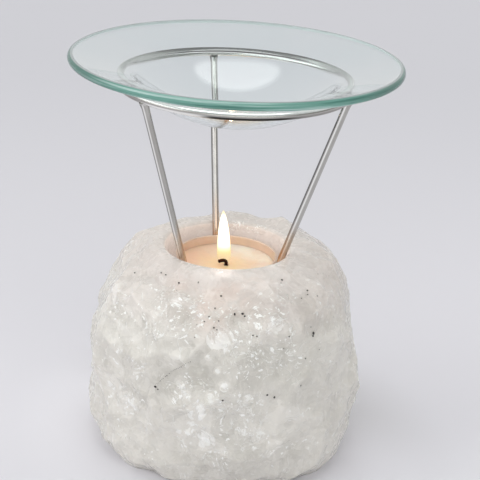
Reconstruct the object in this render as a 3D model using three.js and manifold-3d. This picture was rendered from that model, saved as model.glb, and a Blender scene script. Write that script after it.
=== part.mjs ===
// Oil burner: a rough quartz block with a bored top, a wire stand that drops into the bore,
// a glass dish that rests on the stand's ring, and a tealight that stands in the bore.
// Millimetres, +Z up. The origin is the middle of the sawn underside, on the axis of the bore.

import * as THREE from 'three';
import { mergeVertices } from 'three/addons/utils/BufferGeometryUtils.js';
import Module from 'manifold-3d';

// Driving dimensions

const mouthHeight = 78;         // underside of the stone to the lip of its bore
const stoneRadius = 50.3;       // mean radius of the stone at its girth
const girthHeight = 27;         // height of the widest part of the stone
const lipRounding = 1.5;        // rounding of the bore's lip
const boreRoom = 1.5;           // between the legs' feet and the wall of the bore

const cupRadius = 19;           // tealight cup, over its rolled rim
const cupHeight = 16;
const cupWall = 0.4;
const cupTaper = 0.4;           // the cup's wall leans out by this much over its height
const cupSunk = 4;              // rim of the cup below the lip of the bore
const cupCorner = 1.2;          // rounding of the cup's bottom edge
const rimBead = 0.4;            // radius of the rolled rim

const waxBelowRim = 3.4;        // edge of the wax below the rim of the cup
const waxHollow = 1.3;          // how far the middle of the wax has sunk
const waxGap = 0.2;             // wax to the wall of the cup

const wickDiameter = 1.4;
const wickBend = 0.7;           // the wick is straight up to this height above the middle of the wax
const wickCrown = 1.3;          // its hook is drawn towards a point this much higher
const wickHook = 3;             // how far the wick's end hooks over sideways
const wickBearing = 167;        // direction of the hook, degrees from +X
const discRadius = 6.5;         // sustainer disc under the wick
const discThickness = 0.3;
const collarHeight = 4;
const collarWall = 0.4;

const wireDiameter = 2.6;
const ringRadius = 42;          // to the middle of the wire
const ringAboveMouth = 62;      // lip of the bore to the middle of the ring's wire
const kneeBelowRim = 0.5;       // where the legs turn upright, below the rim of the cup
const kneeReach = 3;            // length of the bend on each side of the knee

const dishRadius = 60;
const glassThickness = 3;
const bowlRadius = 55;          // outer radius of the spherical bowl
const bowlBelowRing = 14.9;     // underside of the bowl below the middle of the ring's wire
const flangeKnee = 5;           // underside radius where the bowl turns into the flange
const flangeSlope = THREE.MathUtils.degToRad(17.4);

const seatGap = 0.3;            // between a piece and what carries it

// Sizes that follow from them

const wireRadius = wireDiameter / 2;
const wickRadius = wickDiameter / 2;
const rimHeight = mouthHeight - cupSunk;
const boreFloor = rimHeight - cupHeight;
const footRadius = cupRadius + seatGap + wireRadius;
const boreRadius = footRadius + wireRadius + boreRoom;
const ringHeight = mouthHeight + ringAboveMouth;
const kneeHeight = rimHeight - kneeBelowRim;

// Solids

const wasm = await Module();
wasm.setup();

/** Merges a geometry's shared vertices and drops the triangles that this flattens. */
function closed(geometry) {
  const bare = geometry.clone();
  bare.deleteAttribute('normal');
  bare.deleteAttribute('uv');
  const merged = mergeVertices(bare, 1e-4);
  const index = merged.index.array;
  const kept = [];
  for (let i = 0; i < index.length; i += 3) {
    const [a, b, c] = [index[i], index[i + 1], index[i + 2]];
    if (a !== b && b !== c && c !== a) kept.push(a, b, c);
  }
  merged.setIndex(kept);
  return merged;
}

function solidOf(geometry) {
  const merged = closed(geometry);
  return new wasm.Manifold(new wasm.Mesh({
    numProp: 3,
    vertProperties: new Float32Array(merged.attributes.position.array),
    triVerts: new Uint32Array(merged.index.array),
  }));
}

function geometryOf(solid) {
  const mesh = solid.getMesh();
  const geometry = new THREE.BufferGeometry();
  geometry.setAttribute('position', new THREE.BufferAttribute(new Float32Array(mesh.vertProperties), 3));
  geometry.setIndex(new THREE.BufferAttribute(new Uint32Array(mesh.triVerts), 1));
  return geometry;
}

/** Turns an outline of [radius, height] points about the Z axis. */
function turned(outline, segments) {
  const points = outline.map(([r, z]) => new THREE.Vector2(r, z));
  return new THREE.LatheGeometry(points, segments).rotateX(Math.PI / 2);
}

/** Points on an arc in the (radius, height) plane, angles in radians from the outward direction. */
function arc(centreR, centreZ, radius, from, to, steps) {
  return Array.from({ length: steps + 1 }, (_, i) => {
    const angle = from + (to - from) * i / steps;
    return [centreR + radius * Math.cos(angle), centreZ + radius * Math.sin(angle)];
  });
}

/** A round wire along a path of curves; a full circle takes two sides to each curve segment. */
function wire(path, radius, sides, steps) {
  const section = new THREE.Shape();
  section.absarc(0, 0, radius, 0, 2 * Math.PI);
  return new THREE.ExtrudeGeometry(section, { curveSegments: sides / 2, steps, extrudePath: path });
}

function finish(colour, roughness, metalness) {
  return new THREE.MeshStandardMaterial({ color: colour, roughness, metalness });
}

const burner = new THREE.Group();

function add(name, geometry, material, parent = burner) {
  const mesh = new THREE.Mesh(closed(geometry), material);
  mesh.name = name;
  parent.add(mesh);
  return mesh;
}

// Stone: a rounded block whose skin is broken by overlapping chips

const crownRise = 1.1;          // mean height of the crown above the lip of the bore
const crownTilt = 3.2;          // the crown is this much higher on one side
const crownBearing = 0.82;      // and its high side lies here, in radians from +X
const topSquareness = 3.5;      // power of the shoulder's curve: 2 is round, more is squarer
const footCutOff = 10;          // how far the stone's curve would go on below the saw cut
const footSquareness = 3.2;
const collarFlat = 1.1;         // level ground round the lip of the bore
const collarFade = 8;           // width over which the chips then grow to full depth
const stoneDetail = 14;         // each edge of the icosahedron is divided into this many, plus one

const lipRadius = boreRadius + lipRounding;
const collarInner = lipRadius + collarFlat;
const topRise = mouthHeight + crownRise - girthHeight;
const footDrop = girthHeight + footCutOff;

// Lobes of the girth: size in mm, how many round the stone, and phase in radians
const lobes = [[1.9, 1, 0.22], [0.9, 2, 1.05], [0.8, 3, 2.67]];

// Broad hollows and swells of the sides: bearing in degrees, height as a share of the mouth's,
// and outward amount and spread in mm
const swells = [
  [-18, 0.67, -4.5, 11],
  [-11, 0.1, -2.5, 9],
  [172, 0.1, -1.2, 14],
  [-16, 0.41, 1.2, 9],
  [212, 0.05, 3, 9],
  [163, 0.93, -3.5, 9],
];

// Chips, coarse and fine: how many, tilt in mm per unit of direction, scoop, spread of depth, seed
const chipLayers = [
  { count: 70, tilt: 5, scoop: 14, depth: 0.9, seed: 1 },
  { count: 300, tilt: 9, scoop: 45, depth: 0.5, seed: 11 },
];

const goldenAngle = Math.PI * (3 - Math.sqrt(5));

/** A repeatable scattered number from -1 to 1 for chip i and use k; its three factors are arbitrary. */
function wobble(i, k) {
  const s = Math.sin(i * 12.9898 + k * 78.233) * 43758.5453;
  return 2 * (s - Math.floor(s)) - 1;
}

/** The middles of a layer's chips on the unit sphere, on a jittered golden spiral, with tilt and depth. */
function chipSites({ count, tilt, depth, seed }) {
  const spiralJitter = 0.5;
  const jitter = spiralJitter / Math.sqrt(count);
  return Array.from({ length: count }, (_, i) => {
    const z = 1 - (2 * i + 1) / count;
    const r = Math.sqrt(1 - z * z);
    const angle = i * goldenAngle + spiralJitter * wobble(i, seed);
    const middle = new THREE.Vector3(r * Math.cos(angle), r * Math.sin(angle), z);
    middle.x += jitter * wobble(i, seed + 1);
    middle.y += jitter * wobble(i, seed + 2);
    middle.z += jitter * wobble(i, seed + 3);
    middle.normalize();
    const slope = new THREE.Vector3(wobble(i, seed + 4), wobble(i, seed + 5), wobble(i, seed + 6));
    return { middle, slope: slope.multiplyScalar(tilt), depth: depth * wobble(i, seed + 7) };
  });
}

/** Height of a chipped skin in one direction: the lowest of its shallow tilted scoops. */
function chipHeight(direction, sites, scoop) {
  const away = new THREE.Vector3();
  let lowest = Infinity;
  for (const site of sites) {
    away.subVectors(direction, site.middle);
    const height = site.depth + away.dot(site.slope) + scoop * away.lengthSq();
    lowest = Math.min(lowest, height);
  }
  return lowest;
}

/** Radius of the stone at its girth, at a bearing in radians. */
function girthRadius(bearing) {
  return lobes.reduce((sum, [size, count, phase]) => sum + size * Math.cos(count * bearing + phase), stoneRadius);
}

/** A point on the stone's skin in one direction from the middle of its girth. */
function skinPoint(direction, layers) {
  const bearing = Math.atan2(direction.y, direction.x);
  const out = Math.hypot(direction.x, direction.y) / girthRadius(bearing);
  const rise = topRise + crownTilt * Math.cos(bearing - crownBearing);
  const up = Math.abs(direction.z) / (direction.z > 0 ? rise : footDrop);
  const power = direction.z > 0 ? topSquareness : footSquareness;
  const smooth = (out ** power + up ** power) ** (-1 / power);
  const middle = new THREE.Vector3(0, 0, girthHeight);
  const point = direction.clone().multiplyScalar(smooth).add(middle);
  let height = 0;
  for (const [degrees, share, amount, spread] of swells) {
    const angle = THREE.MathUtils.degToRad(degrees);
    const radius = girthRadius(angle);
    const centre = new THREE.Vector3(radius * Math.cos(angle), radius * Math.sin(angle), share * mouthHeight);
    height += amount * Math.exp(-point.distanceToSquared(centre) / (2 * spread * spread));
  }
  for (const { sites, scoop } of layers) height += chipHeight(direction, sites, scoop);
  point.addScaledVector(direction, height);
  const radius = Math.hypot(point.x, point.y);
  if (point.z > girthHeight) {
    const rough = THREE.MathUtils.smoothstep(radius, collarInner, collarInner + collarFade);
    point.z = THREE.MathUtils.lerp(mouthHeight, point.z, rough);
  }
  return point;
}

/** The block, sawn flat below and bored from above, with a rounded lip. */
function stoneGeometry() {
  const layers = chipLayers.map((layer) => ({ sites: chipSites(layer), scoop: layer.scoop }));
  const skin = new THREE.IcosahedronGeometry(1, stoneDetail);
  const position = skin.attributes.position;
  const direction = new THREE.Vector3();
  for (let i = 0; i < position.count; i++) {
    direction.fromBufferAttribute(position, i).normalize();
    const point = skinPoint(direction, layers);
    position.setXYZ(i, point.x, point.y, point.z);
  }
  const reach = 2 * stoneRadius;
  const saw = new THREE.BoxGeometry(2 * reach, 2 * reach, reach).translate(0, 0, -reach / 2);
  const drill = turned([
    [0, boreFloor],
    [boreRadius, boreFloor],
    ...arc(lipRadius, mouthHeight - lipRounding, lipRounding, Math.PI, Math.PI / 2, 4),
    [lipRadius, mouthHeight + reach],
    [0, mouthHeight + reach],
  ], 48);
  return geometryOf(solidOf(skin).subtract(solidOf(saw)).subtract(solidOf(drill)));
}

add('stone_base', stoneGeometry(), finish(0xdcdad8, 0.45, 0));

// Tealight: cup, wax, sustainer and wick, in a group that stands on the floor of the bore

const tealight = new THREE.Group();
tealight.position.z = boreFloor;
burner.add(tealight);

const cupWallTop = cupRadius - rimBead;
const cupWallFoot = cupWallTop - cupTaper;

/** Radius of the cup's inner wall at a height above its underside. */
function cupInside(z) {
  return cupWallFoot - cupWall + cupTaper * z / cupHeight;
}

const beadHeight = cupHeight - rimBead;
add('tealight_cup', turned([
  [0, 0],
  ...arc(cupWallFoot - cupCorner, cupCorner, cupCorner, -Math.PI / 2, 0, 3),
  [cupWallTop, beadHeight - rimBead],
  ...arc(cupRadius - rimBead, beadHeight, rimBead, -Math.PI / 4, Math.PI, 5),
  [cupInside(cupCorner), cupCorner],
  [cupInside(0) - cupCorner + cupWall, cupWall],
  [0, cupWall],
], 48), finish(0xc9bfb4, 0.35, 1), tealight);

const waxEdge = cupHeight - waxBelowRim;
const waxMiddle = waxEdge - waxHollow;
const waxFoot = cupCorner;
const wickHole = wickRadius + seatGap;
const collarRadius = wickHole + collarWall;
const discTop = cupWall + discThickness;
const collarTop = discTop + collarHeight;

/** Height of the hollowed wax at a radius: a shallow parabola. */
function waxTop(r) {
  return waxMiddle + waxHollow * (r / cupInside(waxEdge)) ** 2;
}

const waxRings = [1, 0.8, 0.6, 0.35];   // shares of the wax's radius where its top has an edge
const waxOuter = cupInside(waxEdge) - waxGap;
add('candle_wax', turned([
  [wickHole, waxTop(wickHole)],
  [wickHole, collarTop + seatGap],
  [collarRadius + seatGap, collarTop + seatGap],
  [collarRadius + seatGap, discTop + seatGap],
  [discRadius + seatGap, discTop + seatGap],
  [discRadius + seatGap, cupWall],
  [cupInside(0) - cupCorner, cupWall],
  [cupInside(waxFoot) - waxGap, waxFoot],
  ...waxRings.map((share) => [waxOuter * share, waxTop(waxOuter * share)]),
  [wickHole, waxTop(wickHole)],
], 40), finish(0xf0cfae, 0.5, 0), tealight);

add('wick_sustainer', turned([
  [0, cupWall],
  [discRadius, cupWall],
  [discRadius, discTop],
  [collarRadius, discTop],
  [collarRadius, collarTop],
  [wickHole, collarTop],
  [wickHole, discTop],
  [0, discTop],
], 32), finish(0xb8b4ae, 0.4, 1), tealight);

/** The wick stands straight up out of the collar and hooks over at its top. */
function wickPath() {
  const bearing = THREE.MathUtils.degToRad(wickBearing);
  const aside = (reach, z) => new THREE.Vector3(reach * Math.cos(bearing), reach * Math.sin(bearing), z);
  const bend = waxMiddle + wickBend;
  const crown = bend + wickCrown;
  const path = new THREE.CurvePath();
  path.add(new THREE.LineCurve3(aside(0, discTop), aside(0, bend)));
  path.add(new THREE.CubicBezierCurve3(
    aside(0, bend), aside(0, crown), aside(wickHook / 2, crown), aside(wickHook, bend + wickCrown / 3)));
  return path;
}

add('wick', wire(wickPath(), wickRadius, 8, 20), finish(0x1d1815, 0.9, 0), tealight);

// Stand: a wire ring on three legs

const ringSection = (radius, sides) => arc(ringRadius, ringHeight, radius, 0, 2 * Math.PI, sides);
add('stand_ring', turned(ringSection(wireRadius, 12), 72), finish(0xb9b7b2, 0.3, 1));

/** A leg stands upright between cup and bore, then leans out to the ring, whose wire notches its top. */
function legGeometry() {
  const foot = new THREE.Vector3(footRadius, 0, boreFloor);
  const knee = new THREE.Vector3(footRadius, 0, kneeHeight);
  const top = new THREE.Vector3(ringRadius, 0, ringHeight);
  const lean = top.clone().sub(knee).normalize();
  const below = knee.clone().setZ(kneeHeight - kneeReach);
  const above = knee.clone().addScaledVector(lean, kneeReach);
  const path = new THREE.CurvePath();
  path.add(new THREE.LineCurve3(foot, below));
  path.add(new THREE.QuadraticBezierCurve3(below, knee, above));
  path.add(new THREE.LineCurve3(above, top));
  const rod = solidOf(wire(path, wireRadius, 12, 28));
  const notch = solidOf(turned(ringSection(wireRadius + seatGap, 16), 72));
  return geometryOf(rod.subtract(notch));
}

const legBearings = { back: 90, left: 210, right: 330 };
for (const [side, degrees] of Object.entries(legBearings)) {
  const leg = add(`stand_leg_${side}`, legGeometry(), finish(0xb9b7b2, 0.3, 1));
  leg.rotation.z = THREE.MathUtils.degToRad(degrees);
}

// Dish: a spherical bowl that hangs in the ring, a knee, and a flange that lies on the ring and slopes up

/**
 * The dish's outline, from the underside of the bowl round the edge to the inside of the bowl. The bowl's
 * centre is overFlange away from the flange's underside, which clears the ring's wire by the seat gap.
 */
function dishOutline() {
  const half = glassThickness / 2;
  const bowlCentre = ringHeight - bowlBelowRing + bowlRadius;
  const overRing = ringRadius * Math.sin(flangeSlope) + (bowlCentre - ringHeight) * Math.cos(flangeSlope);
  const overFlange = overRing - wireRadius - seatGap;
  const toKnee = bowlRadius + flangeKnee;
  const bowlAngle = flangeSlope + Math.acos((overFlange + flangeKnee) / toKnee);
  const kneeR = toKnee * Math.sin(bowlAngle);
  const kneeZ = bowlCentre - toKnee * Math.cos(bowlAngle);
  const up = Math.PI / 2;
  const edgeR = dishRadius - half;
  const midR = kneeR - (flangeKnee + half) * Math.sin(flangeSlope);
  const midZ = kneeZ + (flangeKnee + half) * Math.cos(flangeSlope);
  const edgeZ = midZ + (edgeR - midR) * Math.tan(flangeSlope);
  return [
    ...arc(0, bowlCentre, bowlRadius, -up, -up + bowlAngle, 9),
    ...arc(kneeR, kneeZ, flangeKnee, up + bowlAngle, up + flangeSlope, 4).slice(1),
    ...arc(edgeR, edgeZ, half, -up + flangeSlope, 0, 3),
    ...arc(edgeR, edgeZ, half, 0, up + flangeSlope, 4).slice(1),
    ...arc(kneeR, kneeZ, flangeKnee + glassThickness, up + flangeSlope, up + bowlAngle, 4),
    ...arc(0, bowlCentre, bowlRadius - glassThickness, -up + bowlAngle, -up, 9).slice(1),
  ];
}

add('glass_dish', turned(dishOutline(), 60), finish(0xcfe3dd, 0.05, 0));

export default burner;
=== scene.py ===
"""Looks for a glass oil burner: a rough quartz block with a tealight in its bore, a wire stand, a glass dish.

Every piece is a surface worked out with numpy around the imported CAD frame. Metres, +Z up, and the origin is
the middle of the stone's sawn underside, on the axis of the bore.
"""

import math

import bmesh
import bpy
import numpy as np
from mathutils import Matrix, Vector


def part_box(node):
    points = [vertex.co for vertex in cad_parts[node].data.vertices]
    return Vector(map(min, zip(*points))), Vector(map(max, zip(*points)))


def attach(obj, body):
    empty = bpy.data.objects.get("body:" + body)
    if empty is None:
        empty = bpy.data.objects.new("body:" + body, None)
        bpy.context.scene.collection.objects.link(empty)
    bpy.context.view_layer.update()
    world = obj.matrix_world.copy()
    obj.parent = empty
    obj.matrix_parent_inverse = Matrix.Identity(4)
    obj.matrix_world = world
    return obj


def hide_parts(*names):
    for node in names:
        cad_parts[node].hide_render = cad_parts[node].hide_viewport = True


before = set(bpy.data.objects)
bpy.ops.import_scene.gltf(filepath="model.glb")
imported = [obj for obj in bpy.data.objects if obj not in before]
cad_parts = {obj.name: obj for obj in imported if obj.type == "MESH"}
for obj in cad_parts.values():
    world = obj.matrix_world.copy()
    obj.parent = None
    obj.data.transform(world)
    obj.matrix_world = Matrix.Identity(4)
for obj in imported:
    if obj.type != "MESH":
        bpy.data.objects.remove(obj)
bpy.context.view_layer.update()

MM = 0.001
TURN = 2 * math.pi
QUARTER = TURN / 4

# Sizes read from the frame

cup_low, cup_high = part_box("tealight_cup")
ring_low, ring_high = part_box("stand_ring")
_, dish_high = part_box("glass_dish")

bore_floor = cup_low.z
cup_height = cup_high.z - cup_low.z
cup_radius = cup_high.x
wire_radius = (ring_high.z - ring_low.z) / 2
ring_height = (ring_high.z + ring_low.z) / 2
ring_radius = ring_high.x - wire_radius
dish_radius = dish_high.x

# Sizes that the frame doesn't tell

mouth_height = 78 * MM
bore_radius = 23.4 * MM
lip_rounding = 1.5 * MM
lip_radius = bore_radius + lip_rounding
girth_height = 27 * MM
stone_radius = 50.3 * MM
glass_thickness = 3 * MM
bowl_radius = 55 * MM
bowl_below_ring = 14.9 * MM
flange_knee = 5 * MM
flange_slope = math.radians(17.4)
seat_gap = 0.3 * MM

# Camera: it stands at its bearing, looks along the view azimuth and down by the pitch, and is rolled

view_azimuth = math.radians(76.527)
camera_bearing = math.radians(-102.88)
camera_distance = 456.83 * MM
camera_height = 262.67 * MM
camera_pitch = math.radians(21.828)
camera_roll = math.radians(3.277)
camera_lens = 98.34
camera_sensor = 36.0
camera_place = np.array([
    camera_distance * math.cos(camera_bearing), camera_distance * math.sin(camera_bearing), camera_height])
photo_size = 480
picture_left = np.array([-math.sin(view_azimuth), math.cos(view_azimuth), 0])


def toward(bearing, elevation):
    """The unit direction at a bearing and an elevation in degrees."""
    b, e = math.radians(bearing), math.radians(elevation)
    return np.array([math.cos(b) * math.cos(e), math.sin(b) * math.cos(e), math.sin(e)])


def camera_axes():
    """The picture's right, its top and the way that the camera looks, as unit directions."""
    level = np.array([math.cos(view_azimuth), math.sin(view_azimuth), 0])
    side = -picture_left
    forward = level * math.cos(camera_pitch) - np.array([0, 0, math.sin(camera_pitch)])
    upward = np.cross(side, forward)
    right = side * math.cos(camera_roll) + upward * math.sin(camera_roll)
    top = upward * math.cos(camera_roll) - side * math.sin(camera_roll)
    return right, top, forward


# Meshes

def outward(points, faces):
    """Turns the faces over if the volume that they close, the sum of their corner pyramids, is negative."""
    a, b, c = points[faces[:, 0]], points[faces[:, 1]], points[faces[:, 2]]
    d = points[faces[:, 3]]
    volume = np.einsum("ij,ij->", a, np.cross(b, c)) + np.einsum("ij,ij->", a, np.cross(c, d))
    return faces if volume > 0 else faces[:, ::-1]


def skin_faces(rows, columns, loop):
    """Quads between neighbours of a grid whose columns join round, and whose rows join too if it is a loop."""
    last = rows if loop else rows - 1
    row = np.arange(last)[:, None]
    column = np.arange(columns)[None, :]
    above = (row + 1) % rows
    beside = (column + 1) % columns
    pairs = ((row, column), (row, beside), (above, beside), (above, column))
    corners = [np.broadcast_to(r * columns + c, (last, columns)) for r, c in pairs]
    return np.stack(corners, 2).reshape(-1, 4)


def joined(grids, loop):
    """The points of all the grids in one array and their quads, turned outwards, in another."""
    points, faces = [], []
    count = 0
    for grid in grids:
        flat = grid.reshape(-1, 3)
        points.append(flat)
        faces.append(outward(flat, skin_faces(*grid.shape[:2], loop)) + count)
        count += len(flat)
    return np.concatenate(points), np.concatenate(faces)


def quad_mesh(name, points, faces):
    """A mesh filled from whole arrays: points [point, xyz] and faces [face, four points]."""
    mesh = bpy.data.meshes.new(name)
    mesh.vertices.add(len(points))
    mesh.vertices.foreach_set("co", points.astype(np.float32).ravel())
    mesh.loops.add(faces.size)
    mesh.loops.foreach_set("vertex_index", faces.astype(np.int32).ravel())
    mesh.polygons.add(len(faces))
    mesh.polygons.foreach_set("loop_start", np.arange(0, faces.size, 4, dtype=np.int32))
    return mesh


def keep_mark(mesh, name, values):
    """Keeps a mask, or a direction where the values are threes, at every point under a name."""
    vector = values.shape[-1] == 3
    attribute = mesh.attributes.new(name, "FLOAT_VECTOR" if vector else "FLOAT", "POINT")
    attribute.data.foreach_set("vector" if vector else "value", values.astype(np.float32).ravel())


def merge_doubles(mesh):
    """Closes poles and seams, and drops the faces that this flattens."""
    work = bmesh.new()
    work.from_mesh(mesh)
    bmesh.ops.remove_doubles(work, verts=work.verts, dist=1e-7)
    work.to_mesh(mesh)
    work.free()


def piece(name, grids, material, body, nodes=(), crease=None, loop=False, marks=None, band=None):
    """One mesh of closed skins, each from a grid of points [row, column, xyz], riding on a CAD body.

    A grid that isn't a loop ends in rows that have shrunk to a point, and their doubles are merged. Faces
    that meet at more than the crease angle, in degrees, keep a sharp edge. Marks are masks or directions, one
    for each point, kept by name. A band is another material with the span of rows that it covers.
    """
    points, faces = joined(grids, loop)
    mesh = quad_mesh(name, points, faces)
    for mark, values in (marks or {}).items():
        keep_mark(mesh, mark, values)
    mesh.materials.append(material)
    if band:
        other, first, last = band
        mesh.materials.append(other)
        row = np.arange(len(faces)) // grids[0].shape[1]
        covered = ((row >= first) & (row < last)).astype(np.int32)
        mesh.polygons.foreach_set("material_index", covered)
    mesh.update(calc_edges=True)
    mesh.validate()
    merge_doubles(mesh)
    mesh.shade_smooth()
    if crease is not None:
        mesh.set_sharp_from_angle(angle=math.radians(crease))
    made = bpy.data.objects.new(name, mesh)
    bpy.context.scene.collection.objects.link(made)
    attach(made, body)
    if nodes:
        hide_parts(*nodes)
    return made


def turned(profile, columns):
    """A profile of (radius, height) points turned about Z: x = r cos a, y = r sin a, z = height."""
    profile = np.asarray(profile, float)
    angle = np.arange(columns) * TURN / columns
    radius = profile[:, :1]
    height = np.broadcast_to(profile[:, 1:], (len(profile), columns))
    return np.stack([radius * np.cos(angle), radius * np.sin(angle), height], 2)


def arc(centre, radius, start, end, steps):
    """Points on a circle's arc in the (radius, height) plane, from the start to the end angle."""
    angle = np.linspace(start, end, steps + 1)
    return np.stack([centre[0] + radius * np.cos(angle), centre[1] + radius * np.sin(angle)], 1)


def straight(start, end, steps):
    """Evenly spaced points from start up to but not at the end."""
    share = np.arange(steps)[:, None] / steps
    return np.asarray(start) * (1 - share) + np.asarray(end) * share


def flat_run(start, end):
    """Points from start up to but not at the end, one of them close to each, so that the run shades flat."""
    share = np.array([0, 0.004, 0.3, 0.7, 0.996])[:, None]
    return np.asarray(start) * (1 - share) + np.asarray(end) * share


def swept(path, radius, sides):
    """A round rod: each path point carries a circle in the plane across the path, and the ends are closed.

    The circle's two directions are the level normal of the path's own upright plane, and that normal crossed
    with the path's direction. The radius may change along the path.
    """
    path = np.asarray(path, float)
    radius = np.broadcast_to(radius, len(path))
    ahead = np.gradient(path, axis=0)
    ahead /= np.linalg.norm(ahead, axis=1)[:, None]
    span = path[-1] - path[0]
    across = np.cross(span, [0, 0, 1])
    across /= np.linalg.norm(across)
    upright = np.cross(across, ahead)
    angle = np.arange(sides) * TURN / sides
    ring = np.cos(angle)[None, :, None] * across + np.sin(angle)[None, :, None] * upright[:, None, :]
    rows = path[:, None, :] + radius[:, None, None] * ring
    start = np.broadcast_to(path[0], (1, sides, 3))
    end = np.broadcast_to(path[-1], (1, sides, 3))
    return np.concatenate([start, rows, end])


# Node trees

def paint(red, green, blue):
    """A colour given as it looks on screen, 0 to 255, in the linear light that shaders use."""
    share = np.array([red, green, blue]) / 255
    linear = np.where(share <= 0.04045, share / 12.92, ((share + 0.055) / 1.055) ** 2.4)
    return (*linear.tolist(), 1.0)


class Tree:
    """A node tree with short calls for the nodes that this scene uses."""

    def __init__(self, tree):
        self.tree = tree
        self.tree.nodes.clear()

    def node(self, kind, settings=None, **inputs):
        """A node with its settings, whose inputs are values or other nodes' outputs."""
        made = self.tree.nodes.new(kind)
        for key, value in (settings or {}).items():
            setattr(made, key, value)
        for key, value in inputs.items():
            self.feed(made.inputs[key.replace("_", " ")], value)
        return made

    def feed(self, socket, value):
        if isinstance(value, bpy.types.NodeSocket):
            self.tree.links.new(value, socket)
        else:
            socket.default_value = value

    def math(self, operation, a, b=0.0, clamp=False):
        made = self.tree.nodes.new("ShaderNodeMath")
        made.operation = operation
        made.use_clamp = clamp
        self.feed(made.inputs[0], a)
        self.feed(made.inputs[1], b)
        return made.outputs[0]

    def ramp(self, value, low, high, bottom=0.0, top=1.0):
        """Smooth step of a value between low and high, put out between bottom and top."""
        made = self.tree.nodes.new("ShaderNodeMapRange")
        made.interpolation_type = "SMOOTHSTEP"
        for index, setting in enumerate((value, low, high, bottom, top)):
            self.feed(made.inputs[index], setting)
        return made.outputs[0]

    def blend(self, mask, a, b):
        """Colour a where the mask is 0 and colour b where it is 1."""
        made = self.tree.nodes.new("ShaderNodeMix")
        made.data_type = "RGBA"
        self.feed(made.inputs[0], mask)
        self.feed(made.inputs[6], a)
        self.feed(made.inputs[7], b)
        return made.outputs[2]

    def product(self, first, *others):
        for other in others:
            first = self.math("MULTIPLY", first, other)
        return first

    def total(self, first, *others):
        for other in others:
            first = self.math("ADD", first, other)
        return first

    def highest(self, first, *others):
        for other in others:
            first = self.math("MAXIMUM", first, other)
        return first

    def apart(self, value, middle):
        """How far a value is from the middle, either way."""
        return self.math("ABSOLUTE", self.math("SUBTRACT", value, middle))

    def place(self):
        return self.node("ShaderNodeTexCoord").outputs["Object"]

    def mark(self, name, output="Fac"):
        """A mask or a direction that the mesh keeps by name."""
        return self.node("ShaderNodeAttribute", {"attribute_name": name}).outputs[output]

    def height(self, place):
        return self.node("ShaderNodeSeparateXYZ", Vector=place).outputs["Z"]

    def along(self, place, direction):
        """How far a place, or how much a direction, lies along another direction."""
        return self.vector("DOT_PRODUCT", place, direction.tolist(), output="Value")

    def noise(self, place, scale, detail=2.0, roughness=0.5, output="Fac"):
        made = self.node("ShaderNodeTexNoise", Vector=place, Scale=scale, Detail=detail, Roughness=roughness)
        return made.outputs[output]

    def warped(self, place, scale, reach, detail=2.0):
        """The place moved by up to the reach in metres, by a noise of its own."""
        centred = self.vector("SUBTRACT", self.noise(place, scale, detail, output="Color"), (0.5, 0.5, 0.5))
        return self.vector("MULTIPLY_ADD", centred, (2 * reach,) * 3, place)

    def cells(self, place, scale, feature="F1", output="Distance"):
        made = self.node("ShaderNodeTexVoronoi", {"feature": feature}, Vector=place, Scale=scale)
        return made.outputs[output]

    def cell_tone(self, place, scale):
        """One random tone from 0 to 1 for each cell."""
        colour = self.cells(place, scale, output="Color")
        return self.node("ShaderNodeSeparateColor", Color=colour).outputs[0]

    def scattered(self, place, scale, reach):
        """One random value for each cell, up to half the reach above or below 0."""
        return self.product(self.math("SUBTRACT", self.cell_tone(place, scale), 0.5), reach)

    def seams(self, place, scale, width):
        """1 on the borders between cells, and 0 from the width on, as a share of a cell."""
        return self.ramp(self.cells(place, scale, feature="DISTANCE_TO_EDGE"), 0.0, width, 1.0, 0.0)

    def vector(self, operation, a, b=(0, 0, 0), c=(0, 0, 0), output=0):
        made = self.node("ShaderNodeVectorMath", {"operation": operation})
        for index, value in enumerate((a, b, c)):
            self.feed(made.inputs[index], value)
        return made.outputs[output]

    def facets(self, place, scale, tilt, normal=None):
        """A normal that leans another way in each cell: the normal plus the tilt times a random vector."""
        if normal is None:
            normal = self.node("ShaderNodeNewGeometry").outputs["Normal"]
        lean = self.vector("SUBTRACT", self.cells(place, scale, output="Color"), (0.5, 0.5, 0.5))
        return self.vector("NORMALIZE", self.vector("MULTIPLY_ADD", lean, (2 * tilt,) * 3, normal))

    def bump(self, height, distance, strength=1.0, normal=None):
        made = self.node("ShaderNodeBump", Height=height, Distance=distance, Strength=strength)
        if normal is not None:
            self.feed(made.inputs["Normal"], normal)
        return made.outputs["Normal"]

    def surface(self, shader):
        output = self.node("ShaderNodeOutputMaterial")
        self.feed(output.inputs["Surface"], shader)

    def principled(self, **inputs):
        """The material's surface as one Principled shader."""
        self.surface(self.node("ShaderNodeBsdfPrincipled", **inputs).outputs[0])

    def mixed(self, share, a, b):
        """Shader a where the share is 0 and shader b where it is 1."""
        made = self.node("ShaderNodeMixShader")
        for index, value in enumerate((share, a.outputs[0], b.outputs[0])):
            self.feed(made.inputs[index], value)
        return made


def material_tree(name):
    material = bpy.data.materials.new(name)
    material.use_nodes = True
    return material, Tree(material.node_tree)


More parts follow.
